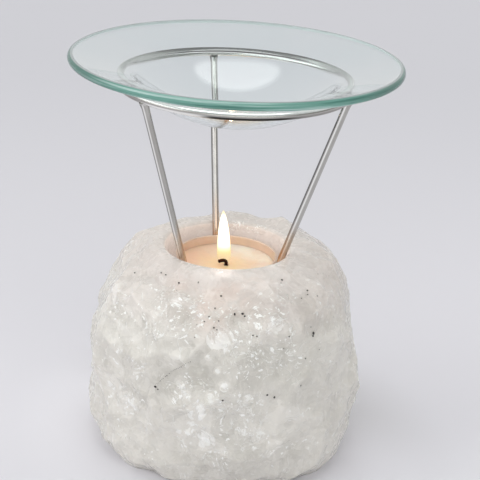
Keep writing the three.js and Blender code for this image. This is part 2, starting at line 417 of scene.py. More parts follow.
def unevenness():
    """A shared group: how uneven a finish is, as a soft mask and a fine mask that each go from 0 to 1."""
    group = bpy.data.node_groups.new("unevenness", "ShaderNodeTree")
    for name, usual in (("Soft Scale", 60.0), ("Fine Scale", 900.0)):
        socket = group.interface.new_socket(name, in_out="INPUT", socket_type="NodeSocketFloat")
        socket.default_value = usual
    for name in ("Soft", "Fine"):
        group.interface.new_socket(name, in_out="OUTPUT", socket_type="NodeSocketFloat")
    t = Tree(group)
    given = t.node("NodeGroupInput")
    place = t.place()
    soft = t.ramp(t.noise(place, given.outputs["Soft Scale"], 3.0), 0.3, 0.7)
    fine = t.ramp(t.noise(place, given.outputs["Fine Scale"], 2.0), 0.3, 0.7)
    result = t.node("NodeGroupOutput")
    t.feed(result.inputs["Soft"], soft)
    t.feed(result.inputs["Fine"], fine)
    return group


UNEVEN = unevenness()


def uneven(t, soft_scale, fine_scale):
    """The shared group placed in a material with its own scales; gives its soft and its fine mask."""
    made = t.node("ShaderNodeGroup", {"node_tree": UNEVEN}, Soft_Scale=soft_scale, Fine_Scale=fine_scale)
    return made.outputs["Soft"], made.outputs["Fine"]


# Materials

def quartz_tone(t, places, milk):
    """How pale the stone is, from 0 to 1: clouds, grit and cells, moved up or down by the milk mark."""
    bent, broad, _, crumb = places
    cloud = t.ramp(t.noise(bent, 40.0, 4.0, 0.55), 0.34, 0.66)
    patch = t.total(t.cell_tone(broad, 60.0), t.cell_tone(broad, 120.0))
    grit = t.ramp(t.noise(broad, 300.0, 2.0, 0.5), 0.35, 0.65)
    crisp = t.ramp(t.noise(crumb, 1200.0, 3.0, 0.6), 0.38, 0.62)
    tone = t.total(t.product(cloud, 0.2), t.product(patch, 0.3), t.product(grit, 0.1), t.product(crisp, 0.2))
    ragged = t.total(milk, t.scattered(broad, 160.0, 0.6))
    tone = t.total(tone, t.ramp(ragged, 0.3, 0.4, 0.0, 0.4))
    tone = t.math("SUBTRACT", tone, t.ramp(ragged, -0.4, -0.3, 0.36, 0.0), clamp=True)
    return tone, grit


def quartz_white(t, places, frost, height):
    """Where the stone is broken white, with painted glints among the breaks, and where its flakes crowd
    together.

    Threads, flakes, strokes and speckles come where a noise and the frost mark are high, and borders between
    the broad cells come anywhere. The speckles are painted glints, and the flakes are partly white breaks and
    partly painted glints. All are fainter near the mouth, except where the frost mark is high.
    """
    bent, broad, crumpled, crumb = places
    below_mouth = t.ramp(height, mouth_height - 10 * MM, mouth_height + 0.5 * MM, 1.0, 0.15)
    broken = t.highest(below_mouth, t.ramp(frost, 0.5, 0.9))
    busy = t.total(t.product(t.noise(bent, 105.0, 4.0, 0.65), 0.9), t.product(frost, 0.26))
    cluster = t.product(t.ramp(busy, 0.6, 0.72), broken)
    thread = t.product(t.seams(crumb, 360.0, 0.045), t.ramp(t.noise(crumpled, 420.0), 0.52, 0.57))
    # Flakes: partly white breaks and partly painted glints.
    flake = t.ramp(t.cell_tone(crumb, 620.0), 0.88, 0.91)
    flake = t.product(flake, t.ramp(t.noise(crumb, 1500.0), 0.46, 0.54))
    stroke = t.product(t.seams(crumb, 190.0, 0.04), t.ramp(t.noise(crumpled, 280.0), 0.54, 0.6))
    stroke = t.product(stroke, t.ramp(busy, 0.48, 0.6, 0.0, 0.8))
    # Painted glints: tiny white speckles in the colour.
    glint_speckle = t.product(t.ramp(t.cell_tone(crumb, 1150.0), 0.93, 0.96), t.ramp(busy, 0.42, 0.55))
    border = t.product(t.seams(broad, 120.0, 0.022), t.ramp(t.noise(bent, 150.0), 0.52, 0.6, 0.0, 0.6))
    white = t.highest(
        t.product(t.highest(thread, flake), cluster), t.product(t.highest(stroke, glint_speckle, border), broken))
    return white, cluster


def milky_quartz():
    """Grey-white stone: soft clouds, white flakes and threads where the frost mark is high, and faint facets.

    The milk mark moves the tone up or down in large patches and lays white plates where it is highest. The
    blush mark is where the stone is stained a little rusty, and the glow mark is the flame's light in and
    round the bore. The patterns lie on places that are warped more and more, from bent to crumb.
    """
    material, t = material_tree("milky_quartz")
    place = t.place()
    milk = t.mark("milk")
    bent = t.warped(place, 50.0, 5 * MM)
    broad = t.warped(bent, 190.0, 1.6 * MM)
    crumpled = t.warped(bent, 230.0, 2.4 * MM, 3.0)
    crumb = t.warped(crumpled, 800.0, 0.9 * MM)
    places = (bent, broad, crumpled, crumb)
    height = t.height(place)
    tone, grit = quartz_tone(t, places, milk)
    white, cluster = quartz_white(t, places, t.mark("frost"), height)
    plates = t.ramp(t.total(milk, t.scattered(crumpled, 480.0, 1.2)), 0.94, 0.98)

    colour = t.blend(tone, paint(198, 195, 187), paint(226, 223, 216))
    colour = t.blend(t.product(plates, 0.65), colour, paint(248, 248, 244))
    # Painted light: near and over the mouth the stone takes the flame's pinkish tint.
    collar = t.ramp(height, mouth_height - 24 * MM, mouth_height - 2 * MM, 0.0, 0.75)
    colour = t.blend(collar, colour, t.blend(tone, paint(193, 183, 177), paint(215, 205, 200)))
    stain = t.product(t.mark("blush"), t.ramp(t.noise(crumpled, 160.0, 3.0), 0.36, 0.6, 0.15, 0.6))
    colour = t.blend(stain, colour, paint(219, 203, 193))
    # White breaks, with the painted glints among them.
    colour = t.blend(t.product(white, 0.85), colour, paint(252, 252, 249))

    normal = t.facets(broad, 120.0, 0.06, t.facets(broad, 60.0, 0.1))
    rough_relief = t.product(t.noise(crumb, 330.0), t.ramp(cluster, 0.0, 1.0, 0.03, 1.0))
    chipped = t.product(t.highest(white, plates), 0.5)
    normal = t.bump(t.total(rough_relief, chipped), 1 * MM, 0.5, normal)
    t.principled(
        Base_Color=colour, Roughness=t.ramp(grit, 0.0, 1.0, 0.16, 0.34), IOR=1.54, Normal=normal,
        Subsurface_Weight=0.45, Subsurface_Radius=(1.0, 0.95, 0.88), Subsurface_Scale=5 * MM,
        Emission_Color=t.blend(t.mark("glow"), paint(0, 0, 0), paint(255, 241, 233)), Emission_Strength=0.25)
    return material


def dark_mineral():
    """Black grains in the stone, a little uneven in tone."""
    material, t = material_tree("dark_mineral")
    soft, _ = uneven(t, 900.0, 3000.0)
    t.principled(Base_Color=t.blend(soft, paint(14, 12, 11), paint(48, 41, 36)), Roughness=0.45)
    return material


def painted_leg_reflections(t, round_wire, tone):
    """Painted reflections across a wire from its left to its right: dark, a bright line, the plain tone and
    darker again.
    """
    left = t.along(round_wire, picture_left)
    colour = t.blend(tone, paint(156, 154, 150), paint(196, 194, 190))
    colour = t.blend(t.ramp(t.apart(left, 0.35), 0.08, 0.3, 0.9, 0.0), colour, paint(252, 251, 248))
    colour = t.blend(t.ramp(left, 0.66, 0.86, 0.0, 0.85), colour, paint(84, 82, 80))
    return t.blend(t.ramp(left, -0.95, -0.8, 0.55, 0.0), colour, paint(120, 118, 114))


def painted_ring_reflections(t, place, up):
    """Painted reflections round the ring's wire: bright and dark lines that change along the ring and differ
    on its near and far half.

    The value up is 1 on top of the wire, 0 at its sides and -1 below it.
    """
    along = t.along(place, picture_left)

    def zone(middle, reach):
        """1 near a place along the ring, measured to the left of its middle, and 0 beyond the reach."""
        return t.ramp(t.apart(along, middle), reach / 2, reach, 1.0, 0.0)

    # Painted reflections on the near half: a black line low near the middle, white further left, white on top.
    near_low = t.blend(zone(-4 * MM, 22 * MM), paint(150, 147, 143), paint(8, 7, 6))
    near_low = t.blend(zone(20 * MM, 14 * MM), near_low, paint(250, 249, 246))
    near = t.blend(t.ramp(up, 0.4, 0.65), paint(176, 174, 170), paint(252, 252, 250))
    near = t.blend(t.ramp(up, -0.3, 0.05, 1.0, 0.0), near, near_low)

    # Painted reflections on the far half: a dark patch left of the middle, a white highlight to the right, a
    # dark line on top.
    far_top = t.blend(zone(9 * MM, 14 * MM), paint(164, 161, 157), paint(92, 88, 84))
    far_top = t.blend(zone(-17 * MM, 20 * MM), far_top, paint(254, 253, 250))
    far = t.blend(t.ramp(up, 0.12, 0.4), paint(156, 153, 149), far_top)
    # Painted light: the far half is pale on its underside, like the room behind it.
    far = t.blend(t.ramp(up, -0.4, -0.12, 0.95, 0.0), far, paint(252, 252, 252))
    far = t.blend(t.ramp(up, 0.68, 0.85), far, paint(50, 48, 46))
    # Painted reflection: the far half is paler towards its ends.
    far = t.blend(t.ramp(t.apart(along, 0.0), 26 * MM, 38 * MM, 0.0, 0.6), far, paint(208, 208, 206))
    return t.blend(t.ramp(t.along(place, toward(80, 0)), -10 * MM, 10 * MM), near, far)


def satin_steel():
    """Drawn stainless wire: lengthwise streaks on the legs, painted reflections as lines on the legs and round
    the ring, and a painted warm glow near the flame.

    The mark is the wire's own outward direction, so the streaks are drawn out along the wire.
    """
    material, t = material_tree("satin_steel")
    soft, fine = uneven(t, 90.0, 1400.0)
    place = t.place()
    height = t.height(place)
    round_wire = t.mark("round_wire", "Vector")
    streak = t.ramp(t.noise(round_wire, 4.0, 3.0, 0.6), 0.38, 0.62)
    colour = painted_leg_reflections(t, round_wire, t.total(t.product(streak, 0.6), t.product(soft, 0.4)))
    in_ring = t.ramp(height, ring_height - 1.2 * wire_radius, ring_height - wire_radius, 0.0, 0.92)
    colour = t.blend(in_ring, colour, painted_ring_reflections(t, place, t.height(round_wire)))
    # Painted light: the wire takes a warm tint near the flame.
    lit = t.ramp(height, mouth_height - 4 * MM, mouth_height + 16 * MM, 0.55, 0.0)
    colour = t.blend(lit, colour, paint(226, 184, 146))
    t.principled(Base_Color=colour, Metallic=1.0, Roughness=t.ramp(fine, 0.0, 1.0, 0.1, 0.16))
    return material


def cup_foil():
    """Thin pressed aluminium with a fine unevenness, tinted peach as painted light of the flame."""
    material, t = material_tree("cup_foil")
    soft, fine = uneven(t, 120.0, 1800.0)
    # Painted light: the foil's peach tint stands for the flame's warm light on it.
    t.principled(
        Base_Color=t.blend(soft, paint(222, 197, 177), paint(232, 208, 190)), Metallic=0.6,
        Roughness=t.total(t.product(fine, 0.1), 0.34), Normal=t.bump(fine, 0.1 * MM, 0.3))
    return material


def sustainer_tin():
    """The small stamped disc under the wick."""
    material, t = material_tree("sustainer_tin")
    soft, fine = uneven(t, 300.0, 2500.0)
    t.principled(
        Base_Color=t.blend(soft, paint(168, 165, 160), paint(188, 186, 182)), Metallic=1.0,
        Roughness=t.total(t.product(fine, 0.12), 0.32))
    return material


def candle_wax():
    """Cream wax, yellower and glossier where the flame has melted it, and deeper in tone on the left as
    painted shade.
    """
    material, t = material_tree("candle_wax")
    soft, fine = uneven(t, 110.0, 1500.0)
    place = t.place()
    melted = t.ramp(t.total(t.mark("pool"), t.product(t.noise(place, 160.0), 0.25)), 0.3, 0.95)
    colour = t.blend(soft, paint(250, 215, 190), paint(254, 235, 216))
    # Painted shade: the wax is darker towards the left.
    left = t.ramp(t.along(place, picture_left), -4 * MM, 16 * MM, 0.0, 0.75)
    colour = t.blend(left, colour, paint(240, 190, 156))
    colour = t.blend(t.product(melted, 0.8), colour, paint(255, 214, 166))
    ripple = t.total(t.noise(place, 150.0), t.product(fine, 0.03))
    t.principled(
        Base_Color=colour, Roughness=t.ramp(melted, 0.0, 0.5, 0.36, 0.3), Normal=t.bump(ripple, 2 * MM, 0.45),
        Specular_IOR_Level=0.35, Subsurface_Weight=0.5, Subsurface_Radius=(1.0, 0.6, 0.35),
        Subsurface_Scale=4 * MM)
    return material


def charred_cotton():
    """A burnt braided wick, black with brown patches."""
    material, t = material_tree("charred_cotton")
    soft, fine = uneven(t, 1200.0, 5000.0)
    t.principled(
        Base_Color=t.blend(soft, paint(18, 8, 5), paint(62, 28, 13)), Roughness=0.7,
        Normal=t.bump(fine, 0.2 * MM, 0.6), Specular_IOR_Level=0.1)
    return material


def lets_light_through(t, glass, tint):
    """The glass shader, but clear with a tint for the rays that carry shadows."""
    shadow = t.node("ShaderNodeLightPath").outputs["Is Shadow Ray"]
    t.surface(t.mixed(shadow, glass, t.node("ShaderNodeBsdfTransparent", Color=tint)).outputs[0])


def clear_glass():
    """Nearly clear glass with the faintest green."""
    material, t = material_tree("clear_glass")
    soft, _ = uneven(t, 40.0, 900.0)
    colour = t.blend(soft, paint(245, 253, 252), paint(248, 254, 253))
    glass = t.node(
        "ShaderNodeBsdfPrincipled", Base_Color=colour, Roughness=0.0, IOR=1.5, Transmission_Weight=1.0)
    lets_light_through(t, glass, (0.95, 0.97, 0.965, 1.0))
    return material


def edge_glass():
    """The round edge, where the light has come a long way through the glass: sea green with paler streaks.

    The streaks run along the edge: their noise is quick over the mark across it, from 0 below to 1 above, and
    slow along it. The green is deeper at the sides as painted shade, grey where the edge meets the top face,
    and pale from inside as painted light.
    """
    material, t = material_tree("edge_glass")
    place = t.place()
    across = t.mark("across")
    x, y, _ = t.node("ShaderNodeSeparateXYZ", Vector=place).outputs
    scaled = {"X": t.product(x, 17.0), "Y": t.product(y, 17.0), "Z": t.product(across, 3.2)}
    streak = t.noise(t.node("ShaderNodeCombineXYZ", **scaled).outputs[0], 1.0, 3.0, 0.55)
    colour = t.blend(t.ramp(streak, 0.36, 0.48), paint(76, 132, 119), paint(116, 169, 156))
    colour = t.blend(t.ramp(streak, 0.5, 0.6, 0.0, 0.85), colour, paint(184, 216, 209))
    # Painted shade: the green is deeper towards the dish's left and right.
    sideways = t.apart(t.along(place, picture_left), 0.0)
    deeper = t.ramp(sideways, dish_radius / 2, dish_radius - 5 * MM, 0.0, 0.8)
    colour = t.blend(deeper, colour, paint(62, 108, 97))
    colour = t.blend(t.ramp(across, 0.74, 0.84), colour, paint(166, 176, 176))
    # Painted light: seen from inside, the edge is as pale as what shows through it.
    inside = t.node("ShaderNodeNewGeometry").outputs["Backfacing"]
    colour = t.blend(inside, colour, paint(214, 222, 222))
    glass = t.node(
        "ShaderNodeBsdfPrincipled", Base_Color=colour, Roughness=0.08, IOR=1.5, Transmission_Weight=0.15)
    lets_light_through(t, glass, (0.6, 0.8, 0.75, 1.0))
    return material


def candle_flame():
    """White at the heart, yellow towards the foot and the sides, and clear at the very foot and the outline.

    Its near wall is clearer at the foot than its far wall, so that the wick stays dark between them. Matt
    surfaces and sharp mirror images get more of its warm light than is seen in the flame itself, as a real
    flame is small and bright.
    """
    material, t = material_tree("candle_flame")
    rise = t.mark("rise")
    facing = t.node("ShaderNodeLayerWeight", Blend=0.5).outputs["Facing"]
    heart = t.node("ShaderNodeEmission", Color=paint(255, 251, 240), Strength=1.9)
    rim = t.node("ShaderNodeEmission", Color=paint(255, 226, 158), Strength=1.15)
    white = t.product(
        t.ramp(rise, 0.2, 0.52), t.ramp(rise, 0.85, 0.99, 1.0, 0.2), t.ramp(facing, 0.4, 0.85, 1.0, 0.0))
    flame = t.mixed(white, rim, heart)
    path = t.node("ShaderNodeLightPath")
    mirrored = t.product(path.outputs["Is Glossy Ray"], path.outputs["Is Singular Ray"])
    strength = t.total(t.product(mirrored, 20.0), 3.6)
    glow = t.node("ShaderNodeEmission", Color=paint(255, 224, 188), Strength=strength)
    light = t.mixed(t.highest(path.outputs["Is Diffuse Ray"], mirrored), flame, glow)
    front = t.math("SUBTRACT", 1.0, t.node("ShaderNodeNewGeometry").outputs["Backfacing"])
    clear_foot = t.product(front, 0.12)
    over_foot = t.ramp(rise, clear_foot, t.total(clear_foot, 0.26))
    solid = t.product(t.ramp(facing, 0.45, 0.97, 1.0, 0.0), over_foot)
    t.surface(t.mixed(solid, t.node("ShaderNodeBsdfTransparent"), light).outputs[0])
    return material


# Stone: the CAD block's own skin, with one more layer of finer chips

# Lobes of the girth: size, how many go round the stone, and phase in radians
lobes = ((1.9 * MM, 1, 0.22), (0.9 * MM, 2, 1.05), (0.8 * MM, 3, 2.67))

# Hollows and swells: bearing in degrees, share of the mouth's height, outward amount and spread
swells = (
    (-18, 0.67, -4.5 * MM, 11 * MM), (-11, 0.1, -2.5 * MM, 9 * MM),
    (172, 0.1, -1.2 * MM, 14 * MM), (-16, 0.41, 1.2 * MM, 9 * MM),
    (212, 0.05, 3 * MM, 9 * MM), (163, 0.93, -3.5 * MM, 9 * MM))

# Chips: how many, tilt and scoop per unit of direction, spread of depth, seed
chip_layers = (
    (70, 5 * MM, 14 * MM, 0.9 * MM, 1),
    (300, 9 * MM, 45 * MM, 0.5 * MM, 11),
    (1500, 5 * MM, 80 * MM, 0.2 * MM, 23))

# The crown rises over the mouth's height and tilts towards a bearing in radians. The powers are those of the
# superellipse above and below the girth, and the foot is sawn off above the superellipse's own foot.
crown_rise = 1.1 * MM
crown_tilt = 3.2 * MM
crown_bearing = 0.82
top_power = 3.5
foot_power = 3.2
foot_cut_off = 10 * MM

# The collar is level from the lip to its inner radius, and takes the stone's own height over the fade
collar_inner = lip_radius + 1.1 * MM
collar_fade = 8 * MM

# The skin's points round the stone and up it, and the spans of the angle down from straight up, in radians,
# in which the lip and the sawn foot are looked for
stone_columns = 500
stone_rows = 170
lip_span = (0.2, 1.2)
foot_span = (1.6, 2.6)
span_halvings = 18

golden_angle = math.pi * (3 - math.sqrt(5))


def wobble(i, k):
    """A repeatable scattered number from -1 to 1 for item i and use k; its three factors are arbitrary."""
    s = np.sin(i * 12.9898 + k * 78.233) * 43758.5453
    return 2 * (s - np.floor(s)) - 1


def chip_height(direction, count, tilt, scoop, depth, seed):
    """The lowest of many tilted scoops: depth + slope.(d - m) + scoop |d - m|^2, for chips with middle m.

    As d and m are unit vectors, each scoop is linear in d, so a layer is a matrix product. The middles are
    spread evenly over a sphere by the golden angle and then moved a little.
    """
    i = np.arange(count)
    z = 1 - (2 * i + 1) / count
    angle = i * golden_angle + 0.5 * wobble(i, seed)
    radius = np.sqrt(1 - z * z)
    jitter = 0.5 / math.sqrt(count)
    middle = np.stack([radius * np.cos(angle), radius * np.sin(angle), z], 1)
    middle += jitter * np.stack([wobble(i, seed + k) for k in (1, 2, 3)], 1)
    middle /= np.linalg.norm(middle, axis=1)[:, None]
    slope = tilt * np.stack([wobble(i, seed + k) for k in (4, 5, 6)], 1)
    start = depth * wobble(i, seed + 7) - (middle * slope).sum(1) + 2 * scoop
    gradient = slope - 2 * scoop * middle
    parts = np.array_split(direction, 1 + len(direction) // 8000)
    return np.concatenate([(part @ gradient.T + start).min(1) for part in parts])


def girth_radius(bearing):
    """The stone's radius at its girth: a circle plus the lobes, size cos(count bearing + phase)."""
    return stone_radius + sum(size * np.cos(count * bearing + phase) for size, count, phase in lobes)


def soft_spot(points, centre, reach):
    """A round spot that fades with the distance d from its centre: exp(-d^2 / 2 reach^2)."""
    return np.exp(-((points - centre) ** 2).sum(1) / (2 * reach ** 2))


def skin(direction):
    """The stone's skin seen from the middle of its girth, for unit directions.

    A superellipse in (radius, height), moved outwards by the swells and the chips, and levelled to the height
    of the mouth near the bore.
    """
    bearing = np.arctan2(direction[:, 1], direction[:, 0])
    out = np.hypot(direction[:, 0], direction[:, 1]) / girth_radius(bearing)
    upper = direction[:, 2] > 0
    rise = mouth_height + crown_rise - girth_height + crown_tilt * np.cos(bearing - crown_bearing)
    up = np.abs(direction[:, 2]) / np.where(upper, rise, girth_height + foot_cut_off)
    power = np.where(upper, top_power, foot_power)
    point = direction * ((out ** power + up ** power) ** (-1 / power))[:, None]
    point[:, 2] += girth_height
    height = sum(chip_height(direction, *layer) for layer in chip_layers)
    for degrees, share, amount, spread in swells:
        centre = girth_radius(math.radians(degrees)) * toward(degrees, 0) + [0, 0, share * mouth_height]
        height += amount * soft_spot(point, centre, spread)
    point += direction * height[:, None]
    radius = np.hypot(point[:, 0], point[:, 1])
    rough = np.clip((radius - collar_inner) / collar_fade, 0, 1)
    rough = rough * rough * (3 - 2 * rough)
    level = point[:, 2] > girth_height
    point[level, 2] = mouth_height + (point[level, 2] - mouth_height) * rough[level]
    return point


def directions(bearing, polar):
    """Unit directions from bearings and angles down from straight up."""
    flat = np.sin(polar)
    return np.stack([flat * np.cos(bearing), flat * np.sin(bearing), np.cos(polar)], -1).reshape(-1, 3)


def first_angle(bearing, span, reached):
    """The polar angle at each bearing where a test of the skin's points turns true, by halving the span."""
    low = np.full_like(bearing, span[0])
    high = np.full_like(bearing, span[1])
    for _ in range(span_halvings):
        middle = (low + high) / 2
        past = reached(skin(directions(bearing, middle)))
        high = np.where(past, middle, high)
        low = np.where(past, low, middle)
    return (low + high) / 2


def stone_grid():
    """Column by column from the middle of the underside, up the skin, over the lip and down the bore.

    The skin's rows share out the polar angle evenly between the lip circle and the sawn foot.
    """
    bearing = np.arange(stone_columns) * TURN / stone_columns
    at_lip = first_angle(bearing, lip_span, lambda p: np.hypot(p[:, 0], p[:, 1]) > lip_radius)
    at_foot = first_angle(bearing, foot_span, lambda p: p[:, 2] < 0)
    share = np.linspace(0, 1, stone_rows)[:, None]
    polar = at_foot * (1 - share) + at_lip * share
    outer = skin(directions(np.broadcast_to(bearing, polar.shape), polar)).reshape(*polar.shape, 3)
    outer[0, :, 2] = 0
    underside = outer[:1] * np.array([0, 0.5, 0.9])[:, None, None]
    bore = np.concatenate([
        arc((lip_radius, mouth_height - lip_rounding), lip_rounding, QUARTER, 2 * QUARTER, 6),
        straight((bore_radius, mouth_height - lip_rounding), (bore_radius, bore_floor), 8)[1:],
        straight((bore_radius, bore_floor), (0, bore_floor), 4),
        [(0, bore_floor)]])
    return np.concatenate([underside, outer[:-1], turned(bore, stone_columns)])


# What the photograph shows on the stone: x and y in its pixels, a reach in millimetres and an amount, which
# is 1 for the frosted places
frosted = (
    (173, 306, 5), (183, 318, 5), (215, 335, 5), (255, 318, 5), (270, 326, 6), (284, 334, 4), (250, 356, 5),
    (190, 393, 5), (200, 405, 4), (222, 398, 4), (280, 358, 3), (131, 402, 4), (245, 400, 3), (238, 425, 4),
    (257, 437, 3), (214, 450, 6), (150, 330, 4), (118, 300, 3), (140, 366, 3), (285, 297, 3),
    (217, 271, 1.5), (225, 273, 1.5))
lip_glints = ((217, 271, 1.3, 1.8), (225, 273, 1.5, 2.2), (230, 270, 1.0, 1.4))
milky = (
    (218, 342, 4, 1.0), (197, 282, 5, 0.8), (198, 428, 8, 0.9), (240, 281, 6, 0.6), (274, 278, 4, 0.6),
    (133, 322, 6, 0.5), (112, 300, 5, 0.6), (108, 380, 5, 0.5), (283, 330, 3, 0.9), (290, 420, 7, 0.5),
    (224, 387, 1.5, 1.6), (115, 400, 5, 0.5), (150, 285, 5, 0.4), (217, 371, 1.1, 1.4), (210, 397, 1.2, 1.5),
    (180, 383, 1.2, 1.4), (176, 355, 1.8, 1.1), (208, 358, 0.8, 1.5), (222, 340, 2, 1.5), (187, 395, 1.2, 1.4),
    (199, 408, 1.5, 1.4), (248, 398, 1.2, 1.2), (261, 402, 1, 1.2), (152, 404, 1.6, 1.0), (258, 436, 1.6, 1.2),
    (207, 440, 2.5, 0.9), (133, 405, 1.5, 1.3), (272, 326, 1.8, 1.4), (176, 300, 1.3, 1.2), (112, 283, 2, 1.3),
    (196, 372, 7, -0.7), (224, 431, 4, -0.9), (268, 353, 4, -0.8), (248, 372, 5, -0.6), (163, 392, 7, -0.5),
    (201, 462, 4, -0.7), (295, 445, 5, -0.5), (180, 300, 6, -0.4), (300, 310, 9, -0.3), (245, 305, 5, -0.5))
rusty = (
    (178, 287, 3, 0.9), (205, 300, 5, 0.8), (213, 320, 4, 0.9), (238, 296, 6, 0.6), (252, 282, 5, 0.5),
    (222, 282, 6, 0.5))

# Single dark grains: x and y in the photograph's pixels, with a width in millimetres
grains = (
    (307.5, 290.3, 1.2), (307.5, 294.5, 0.7), (301.4, 298.3, 0.6), (317.3, 296, 0.6), (234.7, 314.4, 1.0),
    (242.8, 313.8, 0.9), (244.8, 316.2, 0.7), (257, 336.4, 0.6), (253, 335.4, 0.6), (289.2, 336.4, 0.6),
    (283.8, 348.3, 0.6), (313.5, 333.3, 1.0), (313, 336, 0.7), (319.3, 349.4, 0.5), (305.5, 358.4, 0.5),
    (311, 327, 0.5), (300.8, 385.4, 0.6), (274.5, 397.2, 1.1), (267.3, 395, 0.6), (222.6, 400.4, 0.7),
    (155.5, 386.6, 1.0), (158, 389.3, 0.6), (161, 272.4, 0.8), (165.6, 274.6, 0.6), (134.6, 272.6, 0.5),
    (198.2, 282.3, 0.5), (178.8, 282.8, 0.6), (176.6, 290.3, 0.5), (221, 296, 0.7), (215, 308.6, 0.8),
    (204.4, 321.3, 0.8), (209, 316.8, 0.6), (196.9, 324.7, 0.5), (213.9, 327.6, 0.8), (216.9, 329.7, 0.6),
    (194.7, 337.3, 0.5), (218.7, 321, 0.5), (282, 280, 0.7), (281, 283, 0.5), (318, 274, 0.5))

# A grain's width is this share of what was read, it is stretched or squashed by up to the stretch, and it is
# sunk by a share of its width
grain_share = 0.95
grain_stretch = 0.5
grain_sunk = 0.15

# The ends and the bend of the dark crack in the photograph's pixels, and the small grains that line it: how
# many, their middle width and how much it varies in millimetres, and how far they stray up or down in pixels
crack = ((155.5, 384.8), (171.4, 371.4), (190.2, 361.6))
crack_grains = 26
crack_width = 0.28
crack_vary = 0.12
crack_stray = 0.5

# Flecks on the wall of the bore, close under its lip: bearings in degrees
lip_flecks = (84, 74, 66, 58, 50, 42)
lip_fleck_depth = 1.5 * MM
lip_fleck_reach = 1.6 * MM
lip_fleck_frost = 1.3

# Frosted places strewn over the side that the photograph doesn't show: how many, the middle and the spread of
# their bearings and of their angles down from straight up in degrees, and their reach
hidden_frost = 20
hidden_bearing = (80, 105)
hidden_polar = (85, 45)
hidden_reach = 4 * MM

# Shares of the camera's distance between which a line of sight is followed, and how often that stretch is
# halved. Close to the stone's outline it can end before the skin: a place found there is up to 2.3 mm off it.
before_skin = 0.7
behind_skin = 1.05
sight_halvings = 22


def seen(x, y):
    """The places on the stone's skin behind places in the photograph, by halving along each line of sight."""
    right, top, forward = camera_axes()
    focal = camera_lens / camera_sensor * photo_size
    sideways = (np.asarray(x) - photo_size / 2) / focal
    upwards = (photo_size / 2 - np.asarray(y)) / focal
    ray = forward + sideways[:, None] * right + upwards[:, None] * top
    middle = np.array([0, 0, girth_height])
    near = np.full(len(ray), camera_distance * before_skin)
    far = np.full(len(ray), camera_distance * behind_skin)
    for _ in range(sight_halvings):
        half_way = (near + far) / 2
        out = camera_place + ray * half_way[:, None] - middle
        distance = np.linalg.norm(out, axis=1)
        reach = np.linalg.norm(skin(out / distance[:, None]) - middle, axis=1)
        near = np.where(distance > reach, half_way, near)
        far = np.where(distance > reach, far, half_way)
    return camera_place + ray * far[:, None]


def spots(points, places):
    """The sum of soft round spots, amount times spot, for (x, y, reach, amount) in the photograph."""
    x, y, reach, amount = np.array(places, float).T
    return sum(a * soft_spot(points, c, r * MM) for a, c, r in zip(amount, seen(x, y), reach))


def flame_glow(points):
    """The flame's light in the stone: 1 in the bore, and glow_on_lip exp(-d / glow_reach) on the top.

    Here d is the distance from the bore. A hair of room takes the bore's own points in.
    """
    glow_on_lip = 0.3
    glow_reach = 7 * MM
    hair = 0.1 * MM
    radius = np.hypot(points[:, 0], points[:, 1])
    in_bore = (radius < bore_radius + hair) & (points[:, 2] > bore_floor - hair)
    on_top = np.exp(-np.clip(radius - bore_radius, 0, None) / glow_reach) * (points[:, 2] > girth_height)
    return np.where(in_bore, 1.0, glow_on_lip * on_top)


def frost_mark(points):
    """The frosted places that the photograph shows, those strewn over the far side, and the lip's flecks."""
    frost = spots(points, [place + (1,) for place in frosted])
    for index in range(hidden_frost):
        bearing = hidden_bearing[0] + hidden_bearing[1] * wobble(index, 5)
        polar = hidden_polar[0] + hidden_polar[1] * wobble(index, 6)
        centre = skin(directions(np.radians([bearing]), np.radians([polar])))
        frost += soft_spot(points, centre, hidden_reach)
    for degrees in lip_flecks:
        centre = bore_radius * toward(degrees, 0) + [0, 0, mouth_height - lip_fleck_depth]
        frost += lip_fleck_frost * soft_spot(points, centre, lip_fleck_reach)
    return frost


def build_stone(material):
    """The stone with its four marks, worked out at every point of its skin."""
    grid = stone_grid()
    points = grid.reshape(-1, 3)
    marks = {
        "frost": frost_mark(points),
        "milk": spots(points, milky),
        "blush": spots(points, rusty),
        "glow": flame_glow(points) + spots(points, lip_glints)}
    return piece("stone_block", [grid], material, "stone", ["stone_base"], marks=marks)


def build_grains(material):
    """Dark lumps sunk a little into the skin, singly and along the crack: balls stretched or squashed."""
    x, y, width = np.array(grains).T
    share = np.linspace(0, 1, crack_grains)
    bends = np.linspace(0, 1, len(crack))
    crack_x, crack_y = np.array(crack).T
    stray = wobble(np.arange(crack_grains), 7)
    x = np.append(x, np.interp(share, bends, crack_x))
    y = np.append(y, np.interp(share, bends, crack_y) + crack_stray * stray)
    width = np.append(width, crack_width + crack_vary * stray)
    grids = []
    for index, (centre, across) in enumerate(zip(seen(x, y), width * grain_share * MM)):
        ball = turned(arc((0, 0), across / 2, -QUARTER, QUARTER, 6), 8)
        ball[:, :, 0] *= 1 + grain_stretch * wobble(index, 1)
        ball[:, :, 2] *= 1 + grain_stretch * wobble(index, 2)
        inward = np.array([0, 0, girth_height]) - centre
        grids.append(ball + centre + inward / np.linalg.norm(inward) * across * grain_sunk)
    return piece("stone_grains", grids, material, "stone")


# Tealight

round_columns = 128
rim_bead = 0.4 * MM
cup_wall = 0.4 * MM
cup_corner = 1.2 * MM
cup_taper = 0.4 * MM
wall_top = cup_radius - rim_bead
wall_foot = wall_top - cup_taper


def cup_inside(height):
    """Radius of the cup's inner wall at a height above its underside."""
    return wall_foot - cup_wall + cup_taper * height / cup_height


